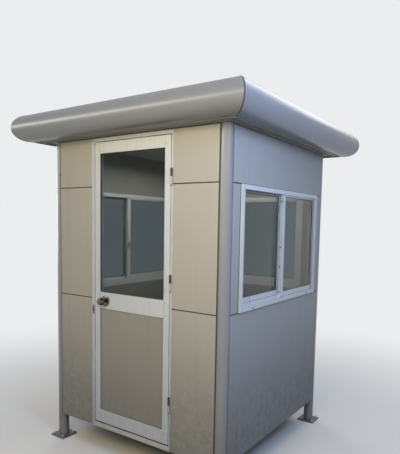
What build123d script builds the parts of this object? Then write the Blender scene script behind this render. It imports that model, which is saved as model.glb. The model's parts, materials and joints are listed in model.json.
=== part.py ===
from build123d import *
import os

os.makedirs("parts", exist_ok=True)

# A one-person guard booth. Millimetres. The origin is on the ground in the middle of the
# plan, the door looks along -Y and +Z is up.

# Body of the booth
booth_width = 1500.0
booth_depth = 1500.0
wall_bottom = 184.0
soffit_height = 2225.0
wall_thickness = 50.0
seat_gap = 0.3

# Outer panels and the joint lines between them
panel_thickness = 4.0
panel_joint = 8.0
sill_height = 1116.0
head_height = 1892.0

# Round corner posts that run down to the ground as legs
post_radius = 38.0
post_wall = 2.0
post_inset = 36.0
post_joint = 1.0
front_post_joint = 7.0

# Square feet under the legs, with four anchor holes each
foot_side = 140.0
foot_thickness = 8.0
foot_hole_radius = 6.0
foot_hole_spacing = 100.0
foot_corner_radius = 4.0

# Base beams under the wall slabs, floor joists and floor
beam_height = 30.0
joist_count = 4
joist_width = 40.0
joist_height = 40.0
joist_setback = 130.0
floor_thickness = 18.0

# Roof: flat soffit, half-round edge of bent sheet, flat top
soffit_flat = 120.0
edge_radius = 95.0
edge_sheet = 2.0
edge_flange_low = 24.0
edge_flange_top = 60.0
mitre_gap = 1.0
soffit_sheet = 3.0
soffit_lap = 16.0
deck_sheet = 3.0
deck_lap = 40.0
rafter_count = 4
rafter_setback = 70.0
rafter_flange = 40.0
rafter_sheet = 2.5
rafter_bearing = 45.0

# Sliding windows, the same in the right, back and left walls
window_width = 1200.0
window_fit = 0.5
frame_face = 30.0
frame_proud = 12.0
sill_face_low = 32.0
sill_step = 14.0
track_reveal = 6.0
track_width = 24.0
track_web = 4.0
sash_depth = 21.0
sash_stile = 40.0
sash_rail = 44.0
sash_top_rail = 22.0
sash_seat = 10.0

# Panes and panels held in grooves
glass_thickness = 5.0
groove_depth = 9.0
pane_seat = 8.0

# Doorway: frame edges as they show from the front
door_left = -355.0
door_right = 355.0
door_frame_proud = 2.0
lock_jamb_face = 28.0
hinge_jamb_face = 10.0
hinge_jamb_lap = 15.0
header_face = 30.0
threshold_rise = 33.0
threshold_nose = 3.0
stop_width = 12.0

# Door leaf
leaf_gap = 5.0
lock_gap = 7.0
threshold_gap = 11.0
leaf_proud = 1.0
leaf_depth = 34.0
leaf_stile = 46.0
leaf_top_rail = 75.0
leaf_bottom_rail = 90.0
leaf_middle_rail = 115.0
middle_rail_bottom = 1050.0
leaf_face_to_pane = 6.0
door_panel_thickness = 6.0

# Lift-off hinges
hinge_heights = (495.0, 1278.0, 1935.0)
hinge_half = 50.0
knuckle_radius = 7.5
knuckle_stand_off = 0.5
knuckle_gap = 0.5
pin_radius = 4.0
pin_clearance = 0.3
pin_length = 40.0
hinge_web = 8.0
flap_length = 10.0
flap_thickness = 2.5

# Knob set
knob_backset = 98.0
rose_radius = 36.0
rose_thickness = 8.0
rose_edge = 3.0
rose_lip = 4.0
knob_neck_radius = 12.0
knob_ball_radius = 27.0
knob_reach = 66.0
spindle_radius = 6.0
spindle_bore_radius = 13.0

# Derived sizes shared by several pieces
half_width = booth_width / 2
half_depth = booth_depth / 2
post_x = half_width - post_inset
post_y = half_depth - post_inset
panel_back_reach = (post_radius**2 - (post_inset - panel_thickness) ** 2) ** 0.5
panel_end = post_inset + panel_back_reach + post_joint
front_panel_end = post_inset + panel_back_reach + front_post_joint
daylight_width = window_width - 2 * frame_face
daylight_bottom = sill_height + sill_face_low + sill_step
daylight_top = head_height - frame_face
floor_top = wall_bottom + beam_height
edge_bottom = soffit_height - edge_sheet
edge_top = edge_bottom + 2 * edge_radius
overhang = soffit_flat + edge_radius
doorway_left = door_left + lock_jamb_face
doorway_right = door_right - hinge_jamb_face
doorway_top = soffit_height - header_face
threshold_top = wall_bottom + threshold_rise
leaf_left = doorway_left + lock_gap
leaf_right = doorway_right - leaf_gap
leaf_bottom = threshold_top + threshold_gap
leaf_top = doorway_top - leaf_gap
leaf_face = -(half_depth + door_frame_proud + leaf_proud)
leaf_back = leaf_face + leaf_depth
stop_face = leaf_back + leaf_gap
middle_rail_top = middle_rail_bottom + leaf_middle_rail
hinge_x = (doorway_right + door_right) / 2
hinge_y = -(half_depth + door_frame_proud + knuckle_stand_off + knuckle_radius)
knob_x = leaf_left + knob_backset
knob_z = middle_rail_bottom + leaf_middle_rail / 2

# Each side: direction it looks, direction to its right seen from outside, distance, length
sides = {
    "front": (Vector(0, -1, 0), Vector(1, 0, 0), half_depth, booth_width),
    "right": (Vector(1, 0, 0), Vector(0, 1, 0), half_width, booth_depth),
    "back": (Vector(0, 1, 0), Vector(-1, 0, 0), half_depth, booth_width),
    "left": (Vector(-1, 0, 0), Vector(0, -1, 0), half_width, booth_depth),
}
window_sides = ("right", "back", "left")
corners = [(x * post_x, y * post_y) for x in (-1, 1) for y in (-1, 1)]


def face_plane(side, inwards=0.0):
    """Plane on a side's outer face: x runs to the right, y up from the ground, z outwards."""
    out, along, distance, length = sides[side]
    return Plane(origin=out * (distance - inwards), x_dir=along, z_dir=out)


def box_between(side, low, high, outer, inner, mode=Mode.ADD):
    """Add or cut a block on one side, from corner to corner, between two depths."""
    with BuildSketch(face_plane(side, outer)) as outline:
        with Locations(((low[0] + high[0]) / 2, (low[1] + high[1]) / 2)):
            Rectangle(high[0] - low[0], high[1] - low[1])
    extrude(outline.sketch, amount=outer - inner, mode=mode)


def save(piece, name):
    """Label a finished piece and write its file."""
    piece.part.label = name
    export_step(piece.part, f"parts/{name}.step")


# Corner posts: round tubes standing on the feet and ending under the soffit
post_names = ("front_left", "back_left", "front_right", "back_right")
for post_name, corner in zip(post_names, corners):
    with BuildPart() as corner_post:
        with BuildSketch(Plane.XY.offset(foot_thickness)):
            with Locations(corner):
                Circle(post_radius)
                Circle(post_radius - post_wall, mode=Mode.SUBTRACT)
        extrude(amount=soffit_height - foot_thickness)
    save(corner_post, f"corner_post_{post_name}")

# Feet: square plates with four anchor holes round each leg
with BuildPart() as base_plates:
    with BuildSketch():
        with Locations(*corners):
            RectangleRounded(foot_side, foot_side, foot_corner_radius)
            with GridLocations(foot_hole_spacing, foot_hole_spacing, 2, 2):
                Circle(foot_hole_radius, mode=Mode.SUBTRACT)
    extrude(amount=foot_thickness)
save(base_plates, "base_plates")

# Base beams behind the panels, under the wall slabs, their ends coped round the posts
with BuildPart() as base_frame:
    for side in window_sides:
        end = sides[side][3] / 2 - post_inset
        low = (-end, wall_bottom)
        box_between(side, low, (end, floor_top), panel_thickness, wall_thickness)
    end = half_width - post_inset
    low = (-end, wall_bottom)
    box_between("front", low, (door_left, floor_top), panel_thickness, wall_thickness)
    low = (door_right + hinge_jamb_lap, wall_bottom)
    box_between("front", low, (end, floor_top), panel_thickness, wall_thickness)
    with BuildSketch(Plane.XY.offset(wall_bottom)):
        with Locations(*corners):
            Circle(post_radius + seat_gap)
    extrude(amount=beam_height, mode=Mode.SUBTRACT)
save(base_frame, "base_frame")

# Floor joists between the front and back beams
joist_pitch = (booth_width - 2 * joist_setback - joist_width) / (joist_count - 1)
with BuildPart() as floor_joists:
    with BuildSketch(Plane.XY.offset(floor_top - floor_thickness - joist_height)):
        with GridLocations(joist_pitch, 0, joist_count, 1):
            Rectangle(joist_width, booth_depth - 2 * wall_thickness)
    extrude(amount=joist_height)
save(floor_joists, "floor_joists")

# Floor board, notched round the four posts
with BuildPart() as floor_deck:
    with BuildSketch(Plane.XY.offset(floor_top - floor_thickness)):
        Rectangle(
            booth_width - 2 * (wall_thickness + seat_gap),
            booth_depth - 2 * (wall_thickness + seat_gap),
        )
        with Locations(*corners):
            Circle(post_radius + seat_gap, mode=Mode.SUBTRACT)
    extrude(amount=floor_thickness)
save(floor_deck, "floor_deck")


def slab_end(side):
    """Half the length of a wall slab: it stops just short of the posts."""
    length = sides[side][3]
    return length / 2 - post_inset - post_radius - seat_gap


# Insulated wall slabs beside the doorway
with BuildPart() as front_wall_left:
    low = (-slab_end("front"), floor_top)
    box_between("front", low, (door_left, soffit_height), panel_thickness, wall_thickness)
save(front_wall_left, "front_wall_left")

with BuildPart() as front_wall_right:
    low = (door_right + hinge_jamb_lap, floor_top)
    high = (slab_end("front"), soffit_height)
    box_between("front", low, high, panel_thickness, wall_thickness)
save(front_wall_right, "front_wall_right")

# Insulated wall slabs with a window opening cut through
for side in window_sides:
    with BuildPart() as wall:
        end = slab_end(side)
        low = (-end, floor_top)
        box_between(side, low, (end, soffit_height), panel_thickness, wall_thickness)
        low = (-window_width / 2, sill_height)
        high = (window_width / 2, head_height)
        box_between(side, low, high, panel_thickness, wall_thickness, Mode.SUBTRACT)
    save(wall, f"{side}_wall")

# Front panels: three each side of the door, with open joints between them
front_levels = (
    (wall_bottom, sill_height - panel_joint / 2),
    (sill_height + panel_joint / 2, head_height - panel_joint / 2),
    (head_height + panel_joint / 2, soffit_height),
)
with BuildPart() as front_panels_left:
    for bottom, top in front_levels:
        low = (front_panel_end - half_width, bottom)
        box_between("front", low, (door_left, top), 0, panel_thickness)
save(front_panels_left, "front_panels_left")

with BuildPart() as front_panels_right:
    for bottom, top in front_levels:
        high = (half_width - front_panel_end, top)
        box_between("front", (door_right, bottom), high, 0, panel_thickness)
save(front_panels_right, "front_panels_right")

# Panels of a window wall: one below, one above and a strip at each side of the window
for side in window_sides:
    with BuildPart() as panels:
        end = sides[side][3] / 2 - panel_end
        strip = window_width / 2 + panel_joint
        below = sill_height - panel_joint / 2
        above = head_height + panel_joint / 2
        box_between(side, (-end, wall_bottom), (end, below), 0, panel_thickness)
        box_between(side, (-end, above), (end, soffit_height), 0, panel_thickness)
        for first, last in ((-end, -strip), (strip, end)):
            low = (first, below + panel_joint)
            box_between(side, low, (last, above - panel_joint), 0, panel_thickness)
    save(panels, f"{side}_panels")

# Roof edge: bent sheet with a low flange, a half round and a top flange, mitred at both ends
low_flange = soffit_flat - edge_flange_low
top_flange = soffit_flat - edge_flange_top
bulge_height = edge_bottom + edge_radius
for side in sides:
    out, along, distance, length = sides[side]
    section = Plane(origin=out * distance, x_dir=out, z_dir=out.cross(Vector(0, 0, 1)))
    with BuildPart() as roof_edge:
        with BuildSketch(section):
            with BuildLine():
                Polyline(
                    (soffit_flat, edge_bottom),
                    (low_flange, edge_bottom),
                    (low_flange, soffit_height),
                    (soffit_flat, soffit_height),
                )
                ThreePointArc(
                    (soffit_flat, soffit_height),
                    (overhang - edge_sheet, bulge_height),
                    (soffit_flat, edge_top - edge_sheet),
                )
                Polyline(
                    (soffit_flat, edge_top - edge_sheet),
                    (top_flange, edge_top - edge_sheet),
                    (top_flange, edge_top),
                    (soffit_flat, edge_top),
                )
                ThreePointArc(
                    (soffit_flat, edge_top),
                    (overhang, bulge_height),
                    (soffit_flat, edge_bottom),
                )
            make_face()
        extrude(amount=length / 2 + overhang, both=True)
        for end in (-1, 1):
            corner = out * distance + along * (end * length / 2)
            normal = (along * end - out).normalized()
            cut = Plane(origin=corner - normal * (mitre_gap / 2), z_dir=normal)
            split(bisect_by=cut, keep=Keep.BOTTOM)
    save(roof_edge, f"roof_edge_{side}")

# Soffit: four flat sheets over the wall tops and the low flanges, mitred at the corners
with BuildPart() as soffit:
    with BuildSketch(Plane.XY.offset(soffit_height)):
        reach = 2 * (soffit_flat - soffit_lap / 2)
        Rectangle(booth_width + reach, booth_depth + reach)
        inner_width = booth_width - 2 * wall_thickness
        inner_depth = booth_depth - 2 * wall_thickness
        Rectangle(inner_width, inner_depth, mode=Mode.SUBTRACT)
        for x_end, y_end in ((-1, -1), (-1, 1), (1, -1), (1, 1)):
            with Locations(Location((x_end * half_width, y_end * half_depth), 45 * x_end * y_end)):
                Rectangle(4 * soffit_flat, mitre_gap, mode=Mode.SUBTRACT)
    extrude(amount=soffit_sheet)
save(soffit, "soffit")

# Ceiling sheet inside the walls
with BuildPart() as ceiling:
    with BuildSketch(Plane.XY.offset(soffit_height)):
        inner_width = booth_width - 2 * (wall_thickness + seat_gap)
        inner_depth = booth_depth - 2 * (wall_thickness + seat_gap)
        Rectangle(inner_width, inner_depth)
    extrude(amount=soffit_sheet)
save(ceiling, "ceiling")

# Roof rafters: bent channels that rest on the soffit sheets over the side walls
deck_bottom = edge_top - edge_sheet - deck_sheet
rafter_height = deck_bottom - soffit_height - soffit_sheet
rafter_pitch = (booth_depth - 2 * rafter_setback - rafter_flange) / (rafter_count - 1)
with BuildPart() as roof_rafters:
    with BuildSketch(Plane.YZ):
        rafter_middle = deck_bottom - rafter_height / 2
        for row in range(rafter_count):
            y = (row - (rafter_count - 1) / 2) * rafter_pitch
            with Locations((y, rafter_middle)):
                Rectangle(rafter_flange, rafter_height)
            with Locations((y + rafter_sheet, rafter_middle)):
                inner_height = rafter_height - 2 * rafter_sheet
                Rectangle(rafter_flange, inner_height, mode=Mode.SUBTRACT)
    extrude(amount=half_width - wall_thickness + rafter_bearing, both=True)
save(roof_rafters, "roof_rafters")

# Roof deck under the top flanges of the roof edge
with BuildPart() as roof_deck:
    with BuildSketch(Plane.XY.offset(deck_bottom)):
        reach = 2 * (top_flange + deck_lap)
        Rectangle(booth_width + reach, booth_depth + reach)
    extrude(amount=deck_sheet)
save(roof_deck, "roof_deck")


def cut_groove(side, low, high, outer, thickness):
    """Widen an opening by a groove that takes the edge of a pane or panel."""
    low = (low[0] - groove_depth, low[1] - groove_depth)
    high = (high[0] + groove_depth, high[1] + groove_depth)
    box_between(side, low, high, outer - seat_gap, outer + thickness + seat_gap, Mode.SUBTRACT)


def add_pane(side, low, high, outer, thickness):
    """Add a pane or panel that reaches into the groove of its opening."""
    low = (low[0] - pane_seat, low[1] - pane_seat)
    high = (high[0] + pane_seat, high[1] + pane_seat)
    box_between(side, low, high, outer, outer + thickness)


# Windows. Depths are measured inwards from the outer faces of the wall panels.
# The right-hand sash, seen from outside, runs in the outer track and the other in the inner.
outer_track = track_reveal - frame_proud
inner_track = outer_track + track_width + track_web
meeting = sash_stile / 2
daylight_side = daylight_width / 2
low_sill = sill_height + sill_face_low
tracks = (
    (outer_track, (-meeting, low_sill), (daylight_side + sash_seat, daylight_top + sash_seat)),
    (inner_track, (-daylight_side - sash_seat, daylight_bottom), (meeting, daylight_top + sash_seat)),
)
sash_play = (track_width - sash_depth) / 2
channel_depth = sash_seat + seat_gap
for side in window_sides:
    with BuildPart() as window_frame:
        edge = window_width / 2 - window_fit
        low = (-edge, sill_height + window_fit)
        high = (edge, head_height - window_fit)
        box_between(side, low, high, -frame_proud, wall_thickness)
        low = (-daylight_side, daylight_bottom)
        high = (daylight_side, daylight_top)
        box_between(side, low, high, -frame_proud, wall_thickness, Mode.SUBTRACT)
        sill_front = outer_track + track_width
        high = (daylight_side, daylight_bottom)
        box_between(side, (-daylight_side, low_sill), high, -frame_proud, sill_front, Mode.SUBTRACT)
        for depth, low, high in tracks:
            channel_low = (-daylight_side - channel_depth, low[1] - channel_depth)
            channel_high = (daylight_side + channel_depth, daylight_top + channel_depth)
            back = depth + track_width
            box_between(side, channel_low, channel_high, depth, back, Mode.SUBTRACT)
    save(window_frame, f"window_{side}_frame")

    with BuildPart() as window_sashes:
        for depth, low, high in tracks:
            low = (low[0], low[1] - sash_seat)
            front = depth + sash_play
            box_between(side, low, high, front, front + sash_depth)
            low = (low[0] + sash_stile, low[1] + sash_rail)
            high = (high[0] - sash_stile, high[1] - sash_top_rail)
            box_between(side, low, high, front, front + sash_depth, Mode.SUBTRACT)
            pane = front + (sash_depth - glass_thickness) / 2
            cut_groove(side, low, high, pane, glass_thickness)
    save(window_sashes, f"window_{side}_sashes")

    with BuildPart() as window_glass:
        for depth, low, high in tracks:
            low = (low[0] + sash_stile, low[1] - sash_seat + sash_rail)
            high = (high[0] - sash_stile, high[1] - sash_top_rail)
            pane = depth + sash_play + (sash_depth - glass_thickness) / 2
            add_pane(side, low, high, pane, glass_thickness)
    save(window_glass, f"window_{side}_glass")

# Door frame: two jambs and a header with a stop behind the leaf. The jamb on the hinge side
# goes on behind the edge of the front panels.
frame_front = -door_frame_proud
stop_depth = half_depth + stop_face
with BuildPart() as door_frame:
    low = (door_left, wall_bottom)
    high = (door_right + hinge_jamb_lap, soffit_height)
    box_between("front", low, high, frame_front, wall_thickness)
    low = (doorway_left + stop_width, wall_bottom)
    high = (doorway_right - stop_width, doorway_top - stop_width)
    box_between("front", low, high, stop_depth, wall_thickness, Mode.SUBTRACT)
    low = (doorway_left, wall_bottom)
    high = (doorway_right, doorway_top)
    box_between("front", low, high, frame_front, stop_depth, Mode.SUBTRACT)
    low = (door_right, wall_bottom)
    high = (door_right + hinge_jamb_lap, soffit_height)
    box_between("front", low, high, frame_front, panel_thickness, Mode.SUBTRACT)
save(door_frame, "door_frame")

# Threshold between the jambs, with a small rounded nose
with BuildPart() as door_threshold:
    low = (doorway_left, wall_bottom)
    high = (doorway_right, threshold_top)
    box_between("front", low, high, frame_front, stop_depth)
    low = (doorway_left + stop_width, wall_bottom)
    high = (doorway_right - stop_width, threshold_top)
    box_between("front", low, high, stop_depth, wall_thickness)
    nose = door_threshold.edges().filter_by(Axis.X).group_by(Axis.Y)[0].sort_by(Axis.Z)[-1]
    fillet(nose, radius=threshold_nose)
save(door_threshold, "door_threshold")

# Door leaf: stiles and three rails round the upper pane and the lower panel
leaf_front = half_depth + leaf_face
opening_left = leaf_left + leaf_stile
opening_right = leaf_right - leaf_stile
glass_low = (opening_left, middle_rail_top)
glass_high = (opening_right, leaf_top - leaf_top_rail)
panel_low = (opening_left, leaf_bottom + leaf_bottom_rail)
panel_high = (opening_right, middle_rail_bottom)
pane_front = leaf_front + leaf_face_to_pane
spindle_plane = Plane(origin=(knob_x, leaf_face, knob_z), x_dir=(1, 0, 0), z_dir=(0, 1, 0))
with BuildPart() as door_leaf:
    low = (leaf_left, leaf_bottom)
    high = (leaf_right, leaf_top)
    box_between("front", low, high, leaf_front, leaf_front + leaf_depth)
    for low, high, pane in (
        (glass_low, glass_high, glass_thickness),
        (panel_low, panel_high, door_panel_thickness),
    ):
        box_between("front", low, high, leaf_front, leaf_front + leaf_depth, Mode.SUBTRACT)
        cut_groove("front", low, high, pane_front, pane)
    with BuildSketch(spindle_plane):
        Circle(spindle_bore_radius)
    extrude(amount=leaf_depth, mode=Mode.SUBTRACT)
save(door_leaf, "door_leaf")

with BuildPart() as door_glass:
    add_pane("front", glass_low, glass_high, pane_front, glass_thickness)
save(door_glass, "door_glass")

with BuildPart() as door_panel:
    add_pane("front", panel_low, panel_high, pane_front, door_panel_thickness)
save(door_panel, "door_panel")

# Hinges: the lower half carries the pin and is fixed to the jamb, the upper half lifts off
with BuildPart() as hinge_jamb_halves:
    for height in hinge_heights:
        base = Plane.XY.offset(height - hinge_half)
        with BuildSketch(base):
            with Locations((hinge_x, hinge_y)):
                Circle(knuckle_radius)
            web_end = -(half_depth + door_frame_proud)
            with Locations((hinge_x, (hinge_y + web_end) / 2)):
                Rectangle(hinge_web, web_end - hinge_y)
        extrude(amount=hinge_half)
        with BuildSketch(Plane.XY.offset(height)):
            with Locations((hinge_x, hinge_y)):
                Circle(pin_radius)
        extrude(amount=pin_length)
save(hinge_jamb_halves, "hinge_jamb_halves")

with BuildPart() as hinge_leaf_halves:
    for height in hinge_heights:
        base = Plane.XY.offset(height + knuckle_gap)
        with BuildSketch(base):
            with Locations((hinge_x, hinge_y)):
                Circle(knuckle_radius)
            flap_left = leaf_right - flap_length
            with Locations(((hinge_x + flap_left) / 2, leaf_face - flap_thickness / 2)):
                Rectangle(hinge_x - flap_left, flap_thickness)
        extrude(amount=hinge_half)
        with BuildSketch(base):
            with Locations((hinge_x, hinge_y)):
                Circle(pin_radius + pin_clearance)
        extrude(amount=pin_length + pin_clearance, mode=Mode.SUBTRACT)
save(hinge_leaf_halves, "hinge_leaf_halves")

# Knob set: a dished rose on each face of the leaf, and two knobs on one spindle
rose_profile = Plane(origin=(knob_x, leaf_face, knob_z), x_dir=(1, 0, 0), z_dir=(0, 0, -1))
leaf_middle = Plane.XZ.offset(-(leaf_face + leaf_back) / 2)
knob_axis = Axis((knob_x, leaf_face, knob_z), (0, -1, 0))
rose_bore = knob_neck_radius + pin_clearance
with BuildPart() as knob_roses:
    with BuildSketch(rose_profile):
        with BuildLine():
            Polyline((rose_bore, 0), (rose_radius, 0), (rose_radius, rose_edge))
            ThreePointArc(
                (rose_radius, rose_edge),
                ((rose_radius + rose_bore + rose_lip) / 2, rose_thickness - rose_edge / 2),
                (rose_bore + rose_lip, rose_thickness),
            )
            Polyline(
                (rose_bore + rose_lip, rose_thickness),
                (rose_bore, rose_thickness),
                (rose_bore, 0),
            )
        make_face()
    revolve(axis=knob_axis)
    mirror(about=leaf_middle)
save(knob_roses, "knob_roses")

neck_end = rose_thickness + knob_neck_radius
ball_height = knob_reach - knob_ball_radius
with BuildPart() as door_knob:
    with BuildSketch(rose_profile):
        with BuildLine():
            Polyline((0, 0), (knob_neck_radius, 0), (knob_neck_radius, neck_end))
            Spline(
                (knob_neck_radius, neck_end),
                (knob_ball_radius, ball_height),
                (knob_ball_radius * 0.8, knob_reach - knob_ball_radius * 0.25),
                (0, knob_reach),
                tangents=[(0, 1), (-1, 0)],
            )
            Line((0, knob_reach), (0, 0))
        make_face()
    revolve(axis=knob_axis)
    mirror(about=leaf_middle)
    with BuildSketch(spindle_plane):
        Circle(spindle_radius)
    extrude(amount=leaf_depth)
save(door_knob, "door_knob")
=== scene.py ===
# %% [markdown]
# # A guard booth, dressed
# The solid model of the booth comes in as a fixed frame: every panel, post, profile and pane is already
# there at its real size. This lesson gives those pieces their finishes and adds what a solid model leaves
# out, such as sealant, gaskets, screws and bolts. One Blender unit is one metre, the origin is in the middle
# of the plan at the level of the feet, the door looks along -Y and +X is to the right of someone in front of
# the door.

# %% Load the frame
import bpy
import bmesh
import json
import math
from mathutils import Matrix, Vector


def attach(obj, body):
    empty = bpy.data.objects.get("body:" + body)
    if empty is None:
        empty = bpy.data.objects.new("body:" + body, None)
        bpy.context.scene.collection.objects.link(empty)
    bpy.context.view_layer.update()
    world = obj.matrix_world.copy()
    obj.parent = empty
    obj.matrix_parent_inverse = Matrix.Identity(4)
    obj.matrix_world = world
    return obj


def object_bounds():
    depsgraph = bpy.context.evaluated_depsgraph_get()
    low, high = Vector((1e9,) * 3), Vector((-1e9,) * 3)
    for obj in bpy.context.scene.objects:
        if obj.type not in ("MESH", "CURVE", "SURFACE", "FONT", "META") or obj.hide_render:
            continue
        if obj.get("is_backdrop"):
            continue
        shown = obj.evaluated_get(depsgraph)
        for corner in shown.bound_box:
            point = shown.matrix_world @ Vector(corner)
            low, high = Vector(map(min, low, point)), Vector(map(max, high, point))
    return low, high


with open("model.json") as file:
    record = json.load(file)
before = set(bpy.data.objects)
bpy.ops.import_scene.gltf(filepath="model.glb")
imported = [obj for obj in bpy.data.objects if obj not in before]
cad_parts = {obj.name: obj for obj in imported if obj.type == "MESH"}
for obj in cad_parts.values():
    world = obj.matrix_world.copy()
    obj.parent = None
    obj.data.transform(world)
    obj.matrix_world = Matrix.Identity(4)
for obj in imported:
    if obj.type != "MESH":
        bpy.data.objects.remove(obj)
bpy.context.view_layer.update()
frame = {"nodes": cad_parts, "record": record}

# %% [markdown]
# ## The camera
# The photograph was taken by hand from the right of the door and 1.65 m up, with the lens tipped down and
# turned a touch. It was cropped afterwards, so the middle of the lens sits below the middle of the picture:
# that is a vertical shift, not a tilt, and the posts stay as upright as they are.

# %% Camera
PHOTO_SIZE = (400, 454)
EYE = Vector((2.155, -3.062, 1.653))
YAW, PITCH, ROLL = math.radians(34.48), math.radians(-5.19), math.radians(1.04)
FOCAL_PX = 473.0
LENS_MIDDLE_ROW = 266.5


def in_scene(name, data):
    """An object with this data, linked into the scene."""
    made = bpy.data.objects.new(name, data)
    bpy.context.collection.objects.link(made)
    return made


forward = Vector((-math.sin(YAW) * math.cos(PITCH), math.cos(YAW) * math.cos(PITCH), math.sin(PITCH)))
level = Vector((math.cos(YAW), math.sin(YAW), 0.0))
right = level * math.cos(ROLL) + level.cross(forward) * math.sin(ROLL)
up = right.cross(forward)
camera = in_scene("camera", bpy.data.cameras.new("camera"))
camera.matrix_world = Matrix([[right[i], up[i], -forward[i], EYE[i]] for i in range(3)] + [[0, 0, 0, 1]])
camera.data.sensor_width = 36.0
camera.data.lens = FOCAL_PX / PHOTO_SIZE[1] * camera.data.sensor_width
camera.data.shift_y = (LENS_MIDDLE_ROW - PHOTO_SIZE[1] / 2) / PHOTO_SIZE[1]
camera.data.clip_end = 200
bpy.context.scene.camera = camera
print("lens", round(camera.data.lens, 2), "mm, shift", round(camera.data.shift_y, 3))

# %% [markdown]
# ## Floor, light and background
# A pale floor runs into a pale background a few metres from the booth. A warm lamp stands in front, low
# enough that the roof throws no shadow on the wall. A cool one on the right is turned up, so it lights the
# top of the side wall more than its foot. Both are left out of mirrors, where they would show as bright
# squares. Two white cards do the opposite: they give no light and only show in mirrors, where they draw a
# soft line along the roof edge and one down the left post. Two more lamps stand behind, and one hangs in the
# cabin, because the glass is tinted.
#
# The sky is brighter overhead than at the horizon, and the floor sends little of its light back up, so
# undersides stay dark. The camera, the metal and the glass still see both of them as nearly white.


# %% Adding nodes
def fill(node, inputs):
    """Set the inputs of a node by name or number, or link them if the value is a socket."""
    for key, value in inputs.items():
        if isinstance(value, bpy.types.NodeSocket):
            node.id_data.links.new(value, node.inputs[key])
        else:
            node.inputs[key].default_value = value


def add_node(tree, kind, inputs=None, **settings):
    """Add a node, set its properties and fill its inputs; a shader node is named without its prefix."""
    made = tree.nodes.new(kind if "Node" in kind else "ShaderNode" + kind)
    for key, value in settings.items():
        setattr(made, key, value)
    fill(made, inputs or {})
    return made


def maths(tree, operation, *values, clamp=False):
    """One arithmetic step; each value is a number or a socket."""
    inputs = dict(enumerate(values))
    return add_node(tree, "Math", inputs, operation=operation, use_clamp=clamp).outputs[0]


print("for any node tree: fill, add_node, maths")


# %% Ramps and colours
def mix(tree, factor, first, second):
    """Mix two colours by a factor."""
    return add_node(tree, "Mix", {0: factor, 6: first, 7: second}, data_type="RGBA").outputs[2]


def ramp(tree, value, start, end, low=0.0, high=1.0):
    """Smoothly map a value from one range to another and hold it there."""
    inputs = {0: value, 1: start, 2: end, 3: low, 4: high}
    return add_node(tree, "MapRange", inputs, interpolation_type="SMOOTHSTEP").outputs[0]


def split(tree, vector):
    """The three parts of a vector."""
    return add_node(tree, "SeparateXYZ", {0: vector}).outputs


def linear(red, green, blue):
    """A colour given as it looks on screen, 0 to 255, as a scene colour."""
    def channel(value):
        value /= 255
        return value / 12.92 if value <= 0.04045 else ((value + 0.055) / 1.055) ** 2.4
    return (channel(red), channel(green), channel(blue), 1.0)


print("mid grey in the scene:", round(linear(128, 128, 128)[0], 3))

# %% Sky
BACKGROUND = linear(236, 237, 238)
SKY_LIGHT = linear(214, 226, 248)
SKY_AT_HORIZON, SKY_OVERHEAD = 0.13, 0.78


def seen_directly(tree):
    """1 for rays that come from the camera, a mirror or a pane, and 0 for light that is on its way."""
    path = add_node(tree, "LightPath").outputs
    seen = maths(tree, "MAXIMUM", path["Is Camera Ray"], path["Is Glossy Ray"])
    return maths(tree, "MAXIMUM", seen, path["Is Transmission Ray"])


world = bpy.data.worlds.new("studio")
bpy.context.scene.world = world
world.use_nodes = True
tree = world.node_tree
tree.nodes.clear()
climb = split(tree, add_node(tree, "TexCoord").outputs["Generated"])["Z"]
level = ramp(tree, climb, 0.05, 0.95, SKY_AT_HORIZON, SKY_OVERHEAD)
sky = add_node(tree, "Background", {"Color": SKY_LIGHT, "Strength": level}).outputs[0]
shown = add_node(tree, "Background", {"Color": BACKGROUND, "Strength": 1.0}).outputs[0]
both = add_node(tree, "MixShader", {0: seen_directly(tree), 1: sky, 2: shown})
add_node(tree, "OutputWorld", {"Surface": both.outputs[0]})
print("sky from", SKY_AT_HORIZON, "to", SKY_OVERHEAD)


# %% Lamps
def area_lamp(name, place, target, wide, power, colour, tall=None, mirrored=True, lights=True):
    """A soft lamp that looks at a point and isn't seen itself. It can be left out of mirrors, as a fill
    light is, or only show in them, as a white card is."""
    lamp = bpy.data.lights.new(name, "AREA")
    lamp.shape, lamp.size, lamp.size_y = "RECTANGLE", wide, tall or wide
    lamp.energy, lamp.color = power, colour
    holder = in_scene(name, lamp)
    holder.location = place
    holder.rotation_euler = (Vector(target) - Vector(place)).to_track_quat("-Z", "Y").to_euler()
    holder.visible_camera = holder.visible_transmission = False
    holder.visible_glossy, holder.visible_diffuse = mirrored, lights


area_lamp("front_lamp", (0.75, -2.75, 2.15), (0.2, -0.7, 1.9), 1.3, 42, (1.0, 0.83, 0.46), mirrored=False)
area_lamp("right_lamp", (2.3, -1.3, 2.5), (0.75, 0.0, 2.3), 1.0, 40, (0.46, 0.64, 1.0), mirrored=False)
area_lamp("back_lamp", (0.9, 4.2, 5.2), (0.7, -0.3, 2.3), 2.6, 52, (1.0, 0.98, 0.95))
area_lamp("fill_lamp", (-3.4, 3.0, 2.6), (0.0, 0.0, 1.2), 2.0, 45, (1.0, 0.98, 0.94), mirrored=False)
area_lamp("high_card", (-3.7, -4.6, 3.4), (0.0, -0.9, 2.3), 5.3, 78, (1.0, 0.93, 0.79), tall=0.8,
          lights=False)
area_lamp("left_card", (-4.0, -0.5, 1.9), (-0.75, -0.75, 1.9), 1.6, 45, (1.0, 0.94, 0.82), tall=1.4,
          lights=False)
area_lamp("room_lamp", (0.0, 0.0, 2.12), (0.0, 0.0, 0.0), 1.0, 18, (1.0, 0.96, 0.88), mirrored=False)
print("lamps:", [lamp.name for lamp in bpy.data.lights])

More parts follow.
